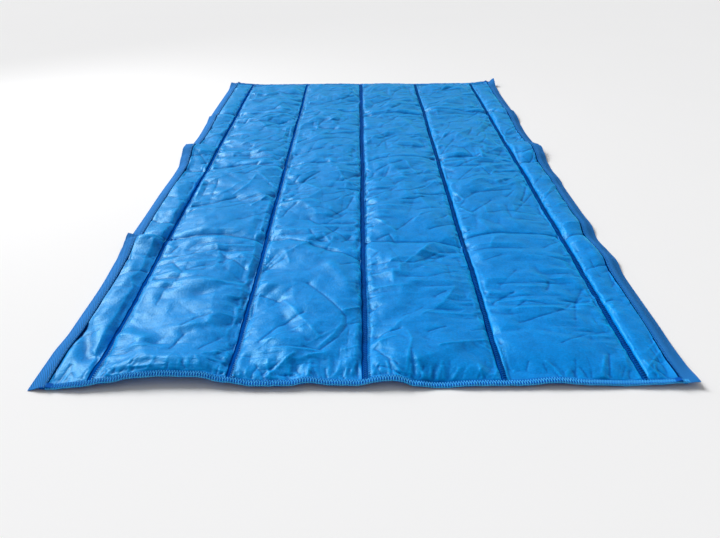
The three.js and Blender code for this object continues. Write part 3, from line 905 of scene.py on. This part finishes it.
def panel_base(index, shares, rows):
    """A film panel as the filling alone would round it, before the waves lift it."""
    places, heights = panel_sides(index, rows)
    share = shares[:, None]
    x = mix(*places, share)
    side = mix(*heights, share)
    fill = np.sin(np.pi / 2 * np.clip((end_distance(rows) - END_STRIP) / FILM_END_REACH, 0, 1))
    low = np.minimum(side, END_THICK)
    z = mix(low, side + (CROWNS[index] - side) * dome(share), fill)
    return np.stack([x, np.broadcast_to(rows, x.shape), z], -1)


def settled_film(index, rng):
    """A film panel as the filling alone would round it, and after its film has been let go."""
    narrow = index in (0, len(SEAM_LINES))
    cells = HALF_CELLS if narrow else FULL_CELLS
    slack = LOOSE_SHARE_NARROW if narrow else 1
    before = None
    for step in ROUNDS:
        shares = shares_across(cells // step.coarser)
        rows = rows_along(ROW_COUNT // step.coarser + 1)
        base = panel_base(index, shares, rows)
        x = base[..., 0]
        y = base[..., 1]
        draw = np.random.default_rng(SEED * 100 + index)
        loose = {
            "across": slack * LOOSE_ACROSS * (1 + patches(draw, x, y, LOOSE_PATCH)),
            "along": slack * LOOSE_ALONG * (1 + patches(draw, x, y, LOOSE_PATCH)),
            "askew": slack * LOOSE_ASKEW * patches(draw, x, y, LOOSE_PATCH),
        }
        start = np.zeros_like(base) if before is None else resample(*before, shares, rows)
        start[..., 2] += step.wave * facets(rng, x, y, step.facet)
        before = (let_go(base, loose, start, step), shares, rows)
    return base, base + before[0]


def panel_film(index):
    """A film panel after the film has buckled, folded and been lifted with the blanket's edges."""
    rng = np.random.default_rng(SEED + index)
    base, film = settled_film(index, rng)
    x = base[..., 0]
    y = base[..., 1]
    height = film[..., 2]
    inside = np.minimum(np.abs(x - x[:1]), np.abs(x - x[-1:]))
    behind = end_distance(y) - END_STRIP
    tight = rise(inside, TIGHT_REACH) * rise(behind, TIGHT_END_REACH)
    held = rise(inside, HELD_REACH) * swell(behind / HELD_END_REACH)
    height -= flank_relief(index, height, x, y)
    height -= tight * fold_relief([*FOLDS, *free_creases(rng, index)], x, y)
    height += held * crinkle_relief(rng, x, y, inside)
    height -= tight * fold_relief(puckers(rng, index), x, y)
    height += lift_at(x, y)
    height[:] = np.maximum(height, under_height(film[..., 0], film[..., 1]) + FILM_ABOVE_UNDER)
    return film


def seam_band(index, rows):
    """The sewn strip between two panels."""
    across = SEAM["across"]
    height = SEAM["height"]
    share = ((across - SEAM_LEFT) / (SEAM_RIGHT - SEAM_LEFT))[:, None]
    x = mix(seam_side(index, -1, rows), seam_side(index, 1, rows), share)
    y = np.broadcast_to(rows, x.shape)
    end = np.minimum(height, END_THICK)[:, None]
    fill = swell((end_distance(y) - END_STRIP) / END_REACH)
    z = mix(end, height[:, None], fill) + lift_at(x, y)
    return np.stack([x, y, z], -1)


def lip(side, rows):
    """The thin margin under a tape, from its outer edge to just outside the sewn line."""
    edge = edge_at(side, rows)
    x = np.stack([edge["sewn"] + side * out for out in (LIP_WIDTH / 2, LIP_WIDTH)[::side]])
    z = np.broadcast_to(edge["margin"] + LIP_THICK, x.shape)
    return np.stack([x, np.broadcast_to(rows, x.shape), z], -1)


def end_ripple(x):
    """The small ruffles of an overlocked end."""
    waves = sum(np.sin(x / reach + phase) for reach, phase in END_RIPPLES)
    return END_RIPPLE_HEIGHT * (0.5 + 0.5 * waves / len(END_RIPPLES))


def end_place(x, inboard, end):
    """Places on the flat strip at one end, so far inboard of the rim: where along, and how high lifted."""
    y = np.full_like(x, end * (HALF_LENGTH - inboard))
    lift = lift_at(x, y)
    out = 1 - inboard / END_STRIP
    drawn = END_DRAWN_IN * out * np.maximum(lift - END_FREE_LIFT, 0)
    return y - end * drawn, lift + out * end_ripple(x)


def end_rows(strip, end):
    """The flat places beyond a strip's last row, out to the quilt's rim."""
    last = strip[:, 0 if end < 0 else -1]
    x = last[:, 0]
    height = last[:, 2] - lift_at(x, last[:, 1])
    rows = []
    for share in END_SHARES:
        y, lift = end_place(x, END_STRIP * (1 - share), end)
        rows.append(np.stack([x, y, lift + height], -1))
    return np.stack(rows[::end], 1)


def with_ends(strip):
    return np.concatenate([end_rows(strip, -1), strip, end_rows(strip, 1)], 1)


def under_height(x, y):
    """The underside: flat on the floor, but for the waves and where the seams and margins draw it up."""
    z = lift_at(x, y)
    for index in range(len(SEAM_LINES)):
        z += SEAM_RISE * (1 - np.clip(np.abs(x - seam_at(index, y)) / SEAM_RISE_REACH, 0, 1)) ** 2
    for side in (-1, 1):
        edge = edge_at(side, y)
        inside = (edge["sewn"] - x) * side
        z += edge["rest"] * (1 - np.clip(inside / MARGIN_RISE_REACH, 0, 1)) ** 2
        z = np.where(inside <= 0, edge["margin"], z)
    return z


def every(count, stride):
    """Some of the places in a row, with both ends and the places next to them."""
    return sorted({*range(0, count, stride), 1, count - 2, count - 1})


def grid_faces(index, upward=True):
    a = index[:-1, :-1].ravel()
    b = index[1:, :-1].ravel()
    c = index[1:, 1:].ravel()
    d = index[:-1, 1:].ravel()
    return np.stack([a, b, c, d] if upward else [d, c, b, a], -1).tolist()


def wall_faces(fine, coarse, stops, flip):
    """A wall between a rim with many places and one with some of them, which are the stops."""
    faces = []
    for k in range(len(stops) - 1):
        first = stops[k]
        last = stops[k + 1]
        middle = (first + last) // 2
        for m in range(first, middle):
            faces.append([fine[m], fine[m + 1], coarse[k]])
        faces.append([fine[middle], coarse[k + 1], coarse[k]])
        for m in range(middle, last):
            faces.append([fine[m], fine[m + 1], coarse[k + 1]])
    return [face[::-1] for face in faces] if flip else faces


def closed_strip(top, under, columns, rows):
    """The places and faces of a closed strip: a fine top, and an underside at some columns and rows of it."""
    across, along = top.shape[:2]
    top_index = np.arange(across * along).reshape(across, along)
    under_index = top_index.size + np.arange(len(columns) * len(rows)).reshape(len(columns), len(rows))
    faces = grid_faces(top_index)
    faces += grid_faces(under_index, upward=False)
    faces += wall_faces(top_index[:, 0], under_index[:, 0], columns, flip=True)
    faces += wall_faces(top_index[:, -1], under_index[:, -1], columns, flip=False)
    faces += wall_faces(top_index[0], under_index[0], rows, flip=False)
    faces += wall_faces(top_index[-1], under_index[-1], rows, flip=True)
    return np.concatenate([top.reshape(-1, 3), under.reshape(-1, 3)]), faces


def new_mesh(name, points, faces, materials, shade_at=None):
    """A smooth mesh object from places in millimetres, with sharp rims and a material for each place.

    Its near end is drawn in last, because the materials go by where the places are without that.
    """
    mesh = bpy.data.meshes.new(name)
    mesh.from_pydata((points * MM).tolist(), [], faces)
    mesh.polygons.foreach_set("use_smooth", np.ones(len(mesh.polygons), bool))
    mesh.set_sharp_from_angle(angle=RIM_ANGLE)
    for material in materials:
        mesh.materials.append(material)
    if shade_at:
        centres = np.empty(3 * len(mesh.polygons))
        mesh.polygons.foreach_get("center", centres)
        shades = shade_at(*(centres.reshape(-1, 3).T[:2] / MM))
        mesh.polygons.foreach_set("material_index", shades.astype(np.int32))
    mesh.vertices.foreach_set("co", (drawn_in(points) * MM).ravel())
    mesh.update()
    piece = bpy.data.objects.new(name, mesh)
    bpy.context.scene.collection.objects.link(piece)
    return piece


def shade_of_panel(x, y):
    """Which material a film panel has: film, a painted shadow in the groove beside a tape, or the overlocked
    strip with painted shade.
    """
    middles = [edge_at(side, y)["sewn"] - side * TAPE_GROOVE / 2 for side in (-1, 1)]
    in_groove = np.min([np.abs(x - middle) for middle in middles], 0) < TAPE_GROOVE / 2
    return np.where(end_distance(y) < END_STRIP, SEWN_FILM_PAINTED_SHADE, np.where(in_groove, PAINTED_SHADE_LINE, 0))


def shade_of_seam(x, y):
    """Which material a seam strip has: painted shade on the deep line on its left, or the sewn film, darkened
    with painted shade.
    """
    index = np.abs(x[:, None] - SEAM_LINES).argmin(1)
    in_line = x - seam_at(index[0], y) < SEWN_SEAMS[index[0]].dark_until
    return np.where(in_line & (end_distance(y) > END_STRIP), PAINTED_SHADE_LINE, 0)


def crumpled(rng, x, y):
    """How crumpled the film is at each place, from 0 to 1: most near its sewn lines, and in patches."""
    lines = (edge_at(-1, y)["sewn"], *SEAM_LINES, edge_at(1, y)["sewn"])
    inside = np.min([np.abs(x - line) for line in lines], 0)
    busy = np.maximum(fade(inside, CRINKLE_SIDE_REACH), fade(end_distance(y), CRINKLE_END_REACH))
    patch = smooth(0.5 + 0.5 * patches(rng, x, y, CRINKLE_PATCH))
    return np.clip(mix(CRUMPLE_MIDDLE, 1, busy) * mix(*CRUMPLE_STRENGTHS, patch), 0, 1)


def painted_crease_light(top):
    """How far each place lies below or above those around it, from 0 in a crease to 1 on a ridge, for painted
    shade and highlight.
    """
    height = top[..., 2]
    around = height.copy()
    for _ in range(PAINTED_SHADE_BLUR):
        mean = around.copy()
        mean[1:-1, 1:-1] = (around[:-2, 1:-1] + around[2:, 1:-1] + around[1:-1, :-2] + around[1:-1, 2:]) / 4
        around = mean
    return np.clip(0.5 + (height - around) / (2 * PAINTED_SHADE_FULL_DEPTH), 0, 1)


def mark(piece, name, values, rest):
    """Keeps a value at each place of a piece's top, with one value for the rest of it."""
    attribute = piece.data.attributes.new(name, "FLOAT", "POINT")
    places = np.full(len(piece.data.vertices), rest)
    places[:values.size] = values.ravel()
    attribute.data.foreach_set("value", places)


def quilt_strip(name, top, column_stride, materials, shade_at):
    """A closed strip of the quilt, from one side to the other and from end to end."""
    columns = every(top.shape[0], column_stride)
    rows = every(top.shape[1], UNDER_ROW_STRIDE)
    under = top[columns][:, rows].copy()
    under[..., 2] = under_height(under[..., 0], under[..., 1])
    strip = new_mesh(name, *closed_strip(top, under, columns, rows), materials, shade_at)
    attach(strip, "root")
    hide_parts("quilt")
    return strip


def make_panels(rows, materials, threads):
    """The film panels, each with the sewing of the seam on its left."""
    for index in range(len(CROWNS)):
        film = panel_film(index)
        if index == 0:
            film = np.concatenate([lip(-1, rows), film])
        else:
            seam_ladder(index - 1, film, *threads)
        if index == len(SEAM_LINES):
            film = np.concatenate([film, lip(1, rows)])
        top = with_ends(film)
        panel = quilt_strip(f"film_panel_{index + 1}", top, PANEL_UNDER_STRIDE, materials, shade_of_panel)
        mark(panel, "crumple", crumpled(np.random.default_rng(SEED + index), top[..., 0], top[..., 1]), 0)
        # The painted shade in creases and painted highlight on ridges follow this
        mark(panel, "painted_crease_light", painted_crease_light(top), 0.5)


def make_seams(rows, materials):
    for index in range(len(SEAM_LINES)):
        band = with_ends(seam_band(index, rows))
        quilt_strip(f"seam_{index + 1}", band, SEAM_UNDER_STRIDE, materials, shade_of_seam)


def tape_place(side, share, y):
    """A place on the tape's underside: share is 0 at its sewn line and 1 at its outer edge."""
    edge = edge_at(side, y)
    x = mix(edge["sewn"] + side * TAPE_CLEAR, edge["outer"], share)
    on_lip = edge["margin"] + LIP_THICK + TAPE_GAP
    drop = np.interp(share, TAPE_SECTION["out"], TAPE_SECTION["drop"])
    dip = np.interp(share, TAPE_SECTION["out"], TAPE_SECTION["dip"])
    return x, mix(on_lip, edge["drop"], drop) - dip


def shade_of_tape(x, y):
    """Which material a tape has: its own, or painted shade along the line it is sewn along."""
    side = np.sign(x[0])
    edge = edge_at(side, y)
    start = edge["sewn"] + side * TAPE_CLEAR
    out = (x - start) / (edge["outer"] - start)
    return np.abs(out - TAPE_SEWN_AT) < TAPE_SEWN_HALF


def make_tape(side, word, materials):
    y = np.linspace(-HALF_LENGTH, HALF_LENGTH, TAPE_ROWS)
    x, z = tape_place(side, TAPE_SECTION["out"][::side, None], y)
    layers = [np.stack([x, np.broadcast_to(y, x.shape), z + thick], -1) for thick in (TAPE_THICK, 0)]
    places, faces = closed_strip(*layers, range(len(x)), range(TAPE_ROWS))
    tape = new_mesh("binding_tape_" + word, places, faces, materials, shade_of_tape)
    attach(tape, "root")
    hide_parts("side_tape_" + word)


def tubes(paths, radius, across, sides=5):
    """The places and faces of threads: paths holds each thread's places from end to end."""
    count, steps = paths.shape[:2]
    along = np.gradient(paths, axis=1)
    along /= np.linalg.norm(along, axis=-1, keepdims=True)
    side = np.cross(along, across)
    side /= np.linalg.norm(side, axis=-1, keepdims=True)
    up = np.cross(side, along)
    angles = 2 * np.pi * np.arange(sides) / sides
    ring = np.cos(angles)[:, None] * side[:, :, None] + np.sin(angles)[:, None] * up[:, :, None]
    points = paths[:, :, None] + radius * ring
    index = np.arange(count * steps * sides).reshape(count, steps, sides)
    a = index[:, :-1]
    b = index[:, 1:]
    quads = np.stack([a, b, np.roll(b, -1, -1), np.roll(a, -1, -1)], -1).reshape(-1, 4)
    faces = quads.tolist() + index[:, 0].tolist() + index[:, -1, ::-1].tolist()
    return points.reshape(-1, 3), faces


def stitches(name, rows, material):
    """One piece of sewing from several rows of threads, each given as the places and faces of its tubes."""
    points = []
    faces = []
    count = 0
    for row_points, row_faces in rows:
        points.append(row_points)
        faces += [[count + corner for corner in face] for face in row_faces]
        count += len(row_points)
    piece = new_mesh(name, np.concatenate(points), faces, [material])
    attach(piece, "root")
    return piece


def overlock(end, name, material):
    """Overlocking round an end: threads that wrap the rim and lean both ways, and an edge row."""
    x = np.arange(-OVERLOCK_HALF, OVERLOCK_HALF, OVERLOCK_PITCH)
    rows = []
    for lean in (1, -1):
        places = []
        for inboard, above, slant in zip(*OVERLOCK_WRAP.values()):
            across = x + lean * slant
            y, lift = end_place(across, max(inboard, 0), end)
            y = y - end * min(inboard, 0)
            z = np.maximum(lift + above + OVERLOCK_THREAD * (1 + lean) / 4, OVERLOCK_THREAD)
            places.append(np.stack([across, y, z], -1))
        rows.append(tubes(np.stack(places, 1), OVERLOCK_THREAD, (1, 0, 0), sides=4))
    across = np.arange(-OVERLOCK_HALF, OVERLOCK_HALF, OVERLOCK_PITCH / 2)
    y, lift = end_place(across, 0, end)
    swing = np.where(np.arange(len(across)) % 2, OVERLOCK_EDGE_SWING, -OVERLOCK_EDGE_SWING)
    z = np.maximum(lift + END_THICK / 2 + swing, OVERLOCK_THREAD)
    edge = np.stack([across, y + end * OVERLOCK_EDGE_OUT, z], -1)
    rows.append(tubes(edge[None], OVERLOCK_EDGE_THREAD, (0, 1, 0)))
    stitches(name, rows, material)


def seam_ladder(index, panel, thread, thread_with_painted_highlight):
    """The sewing of one seam: cross threads from the deep line up over the next panel's shoulder."""
    sewn = SEWN_SEAMS[index]
    y = np.arange(-HALF_LENGTH + END_STRIP, HALF_LENGTH - END_STRIP - LADDER_PITCH, LADDER_PITCH)
    rungs = []
    for across, height in LADDER_ON_SEAM[sewn.starts:]:
        rung_y = y + LADDER_STEP * len(rungs)
        x = seam_at(index, rung_y) + across
        rungs.append(np.stack([x, rung_y, height + LADDER_THREAD + lift_at(x, rung_y)], -1))
    for column in panel[:sewn.columns]:
        rung_y = y + LADDER_STEP * len(rungs)
        x = np.interp(rung_y, column[:, 1], column[:, 0])
        z = np.interp(rung_y, column[:, 1], column[:, 2])
        rungs.append(np.stack([x, rung_y, z + LADDER_OVER_FILM * LADDER_THREAD], -1))
    row = tubes(np.stack(rungs, 1), LADDER_THREAD, (0, 1, 0), sides=4)
    # The thread is either the copy with painted highlight or the one with painted shade
    stitches(f"seam_stitches_{index + 1}", [row], thread_with_painted_highlight if sewn.light else thread)


def tape_stitches(side, word, material):
    """The row of stitches that sews a tape to the quilt's lip."""
    y = np.arange(-HALF_LENGTH + TAPE_FIRST_STITCH, HALF_LENGTH - TAPE_PITCH, TAPE_PITCH)
    dashes = []
    for share, sunk in DASH:
        at = y + share * TAPE_PITCH
        x, z = tape_place(side, TAPE_SEWN_AT, at)
        dashes.append(np.stack([x, at, z + TAPE_THICK + TAPE_THREAD - sunk], -1))
    row = tubes(np.stack(dashes, 1), TAPE_THREAD, (1, 0, 0), sides=4)
    return stitches("tape_stitches_" + word, [row], material)


def feed(owner, value, socket):
    """Gives a socket its value, which may be another node's output."""
    if isinstance(value, bpy.types.NodeSocket):
        owner.node_tree.links.new(value, socket)
    else:
        socket.default_value = value


def add(owner, kind, *values, **settings):
    """A new node: the values go to its sockets in order, the settings to sockets and properties by name."""
    node = owner.node_tree.nodes.new(kind)
    for name, value in settings.items():
        if name in node.inputs:
            feed(owner, value, node.inputs[name])
        else:
            setattr(node, name, value)
    for socket, value in zip(node.inputs, values):
        feed(owner, value, socket)
    return node


def new_material(name, color, roughness, specular):
    material = bpy.data.materials.new(name)
    material.use_nodes = True
    shader = material.node_tree.nodes["Principled BSDF"]
    shader.inputs["Base Color"].default_value = (*color, 1)
    shader.inputs["Roughness"].default_value = roughness
    shader.inputs["Specular IOR Level"].default_value = specular
    return material, shader


def place_on_part(material):
    """The part's own coordinates."""
    return add(material, "ShaderNodeTexCoord").outputs["Object"]


def noise(material, scale, detail):
    """Noise over the part's own coordinates."""
    return add(material, "ShaderNodeTexNoise", Vector=place_on_part(material), Scale=scale, Detail=detail)


def cracks(material, scale, place):
    """How far each place is from the edges of uneven cells."""
    cells = add(material, "ShaderNodeTexVoronoi", Vector=place, Scale=scale, feature="DISTANCE_TO_EDGE")
    return cells.outputs["Distance"]


def kept(material, name):
    """A value that was kept at each place of a piece."""
    return add(material, "ShaderNodeAttribute", attribute_name=name).outputs["Fac"]


def warped_place(material, scale, reach):
    """The part's coordinates, pushed about by noise."""
    push = noise(material, scale, 2).outputs["Color"]
    values = (push, (reach, reach, reach), place_on_part(material))
    return add(material, "ShaderNodeVectorMath", *values, operation="MULTIPLY_ADD").outputs["Vector"]


def bump(material, shader, layers):
    """Fine relief as bump: each layer's height, how deep it is in metres, and how much of it shows where."""
    normal = None
    for height, depth, share in layers:
        node = add(material, "ShaderNodeBump", Strength=share, Distance=depth, Height=height)
        if normal:
            feed(material, normal, node.inputs["Normal"])
        normal = node.outputs["Normal"]
    feed(material, normal, shader.inputs["Normal"])


def ramp(material, value, stops):
    """A colour for each value: the stops are values from 0 to 1 and their colours."""
    node = add(material, "ShaderNodeValToRGB", Fac=value)
    elements = node.color_ramp.elements
    while len(elements) < len(stops):
        elements.new(0.5)
    for element, (position, color) in zip(elements, stops):
        element.position = position
        element.color = (*color, 1)
    return node.outputs["Color"]


def mottled(material, scale, low, high):
    """A colour that drifts between two over the part, in soft patches."""
    stops = ((NOISE_SPREAD[0], low), (NOISE_SPREAD[1], high))
    return ramp(material, noise(material, scale, 3).outputs["Fac"], stops)


def spread(material, value, first, last, low, high):
    """A value read from first to last, as one from low to high."""
    return add(material, "ShaderNodeMapRange", value, first, last, low, high).outputs["Result"]


def vary(material, shader, scale, low, high):
    """Lets a material's roughness drift between two values over the part."""
    value = noise(material, scale, 3).outputs["Fac"]
    feed(material, spread(material, value, *NOISE_SPREAD, low, high), shader.inputs["Roughness"])


def scaled(material, color, share):
    """A colour made lighter or darker by a share."""
    return add(material, "ShaderNodeVectorMath", color, operation="SCALE", Scale=share).outputs["Vector"]


def film_material():
    """The film, whose colour goes by its mottling, painted shade in its creases and painted highlight on its
    ridges, its grain, and painted shade along its crumples' lines.
    """
    material, shader = new_material("film", FILM_COLORS[0], FILM_ROUGHNESS[1], FILM_SPECULAR)
    for name, value in FILM_SOCKETS.items():
        shader.inputs[name].default_value = value
    vary(material, shader, FILM_PATCHES, *FILM_ROUGHNESS)
    place = warped_place(material, *FILM_WARP)
    crumple = cracks(material, FILM_CRUMPLES, place)
    crinkle = cracks(material, FILM_CRINKLES, place)
    grain = noise(material, FILM_GRAINS, 2).outputs["Fac"]
    shown = kept(material, "crumple")
    # Painted shade in the creases and painted highlight on the ridges
    shade = ramp(material, kept(material, "painted_crease_light"), CREASE_PAINTED_SHADE_RIDGE_HIGHLIGHT)
    color = mottled(material, FILM_MOTTLING, *FILM_COLORS)
    color = add(material, "ShaderNodeVectorMath", color, shade, operation="MULTIPLY").outputs["Vector"]
    color = scaled(material, color, spread(material, grain, *NOISE_SPREAD, *FILM_GRAIN_SHADES))
    # Painted shade along the thin lines of the crumples, where the film is crumpled
    line = spread(material, crumple, 0, CRUMPLE_LINE_PAINTED_SHADE_WIDTH, CRUMPLE_LINE_PAINTED_SHADE, 0)
    line = add(material, "ShaderNodeMath", line, shown, operation="MULTIPLY").outputs["Value"]
    color = scaled(material, color, spread(material, line, 0, 1, 1, 0))
    feed(material, color, shader.inputs["Base Color"])
    bump(material, shader, zip((crumple, crinkle, grain), FILM_BUMPS, (shown, shown, 1)))
    return material


def cloth_material(name):
    """A matt cloth or thread, whose colour drifts between two."""
    cloth = CLOTHS[name]
    material, shader = new_material(name, cloth.low, cloth.roughness, cloth.specular)
    feed(material, mottled(material, cloth.scale, cloth.low, cloth.high), shader.inputs["Base Color"])
    rough = (cloth.roughness - CLOTH_ROUGHNESS_DRIFT, cloth.roughness + CLOTH_ROUGHNESS_DRIFT)
    vary(material, shader, cloth.scale, *rough)
    return material, shader


def tape_material():
    """The ribbed cloth of the tapes, with its ribs aslant in bump, painted highlight on their tops and
    painted shade between them.
    """
    material, shader = cloth_material("binding")
    turns = 2 * math.pi / (TAPE_RIB_PITCH * MM)
    way = (turns * math.cos(TAPE_RIB_TURN), turns * math.sin(TAPE_RIB_TURN), 0)
    along = add(material, "ShaderNodeVectorMath", place_on_part(material), way, operation="DOT_PRODUCT")
    ribs = add(material, "ShaderNodeMath", along.outputs["Value"], operation="SINE").outputs["Value"]
    # Painted highlight on the rib tops and painted shade between them
    color = shader.inputs["Base Color"].links[0].from_socket
    color = scaled(material, color, spread(material, ribs, -1, 1, *TAPE_RIB_PAINTED_LIGHT))
    feed(material, color, shader.inputs["Base Color"])
    bump(material, shader, [(ribs, TAPE_RIB_BUMP, 1)])
    return material


def make_floor():
    bpy.ops.mesh.primitive_circle_add(
        vertices=FLOOR_CORNERS, radius=FLOOR_RADIUS, fill_type="NGON", location=(0, 0, -FLOOR_DROP))
    floor = bpy.context.active_object
    floor.name = "floor"
    floor.data.materials.append(cloth_material("floor")[0])


def make_camera():
    data = bpy.data.cameras.new("camera")
    data.lens = CAMERA_LENS
    data.sensor_width = CAMERA_SENSOR
    camera = bpy.data.objects.new("camera", data)
    bpy.context.scene.collection.objects.link(camera)
    tilt = Matrix.Rotation(math.pi / 2 - CAMERA_PITCH, 4, "X")
    roll = Matrix.Rotation(CAMERA_ROLL, 4, "Z")
    camera.matrix_world = Matrix.Translation(CAMERA_PLACE) @ tilt @ roll
    bpy.context.scene.camera = camera


def make_world():
    """A white surround whose light grows toward one side."""
    world = bpy.data.worlds.new("studio")
    world.use_nodes = True
    way = add(world, "ShaderNodeTexCoord").outputs["Generated"]
    side = Vector(WORLD_FROM).normalized() * WORLD_SHARE
    toward = add(world, "ShaderNodeVectorMath", way, side, operation="DOT_PRODUCT").outputs["Value"]
    glow = add(world, "ShaderNodeMath", toward, 1, operation="ADD").outputs["Value"]
    level = add(world, "ShaderNodeMath", glow, WORLD_STRENGTH, operation="MULTIPLY").outputs["Value"]
    background = world.node_tree.nodes["Background"]
    background.inputs["Color"].default_value = (1, 1, 1, 1)
    feed(world, level, background.inputs["Strength"])
    bpy.context.scene.world = world


def add_light(data, place, aim):
    light = bpy.data.objects.new(data.name, data)
    light.location = place
    light.rotation_euler = (Vector(place) - Vector(aim)).to_track_quat("Z", "Y").to_euler()
    bpy.context.scene.collection.objects.link(light)


def make_lights():
    sun = bpy.data.lights.new("key", "SUN")
    sun.energy = KEY_STRENGTH
    sun.angle = KEY_WIDTH
    add_light(sun, KEY_FROM, (0, 0, 0))
    for softbox in SOFTBOXES:
        data = bpy.data.lights.new(softbox.name, "AREA")
        data.shape = "DISK"
        data.size = softbox.size
        data.energy = softbox.power
        add_light(data, softbox.place, softbox.aim)
    bpy.context.scene.view_settings.view_transform = "Standard"


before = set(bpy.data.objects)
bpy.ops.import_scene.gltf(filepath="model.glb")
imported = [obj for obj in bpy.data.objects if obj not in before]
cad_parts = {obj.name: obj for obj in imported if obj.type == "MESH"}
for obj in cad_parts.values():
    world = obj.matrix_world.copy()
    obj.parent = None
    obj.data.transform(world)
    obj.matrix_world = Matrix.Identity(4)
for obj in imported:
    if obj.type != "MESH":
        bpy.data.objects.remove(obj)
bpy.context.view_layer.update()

make_camera()
make_world()
make_lights()
make_floor()

cloths = {name: cloth_material(name)[0] for name in CLOTHS if name not in ("floor", "binding")}
rows = rows_along(ROW_COUNT + 1)
# The panels' grooves beside the tapes and their overlocked ends have painted shade
make_panels(rows, (film_material(), cloths["groove painted shadow"], cloths["seam film painted shade"]),
            (cloths["thread"], cloths["thread painted highlight"]))
make_seams(rows, (cloths["seam film painted shade"], cloths["sewn line"]))
overlock(-1, "overlock_near", cloths["edge thread"])
overlock(1, "overlock_far", cloths["edge thread"])
binding = tape_material()
# The right tape's stitches take the thread copy with painted shade
for side, word, thread in ((-1, "left", "tape thread"), (1, "right", "thread")):
    sewing = tape_stitches(side, word, cloths[thread])
    make_tape(side, word, (binding, cloths["sewn line"]))
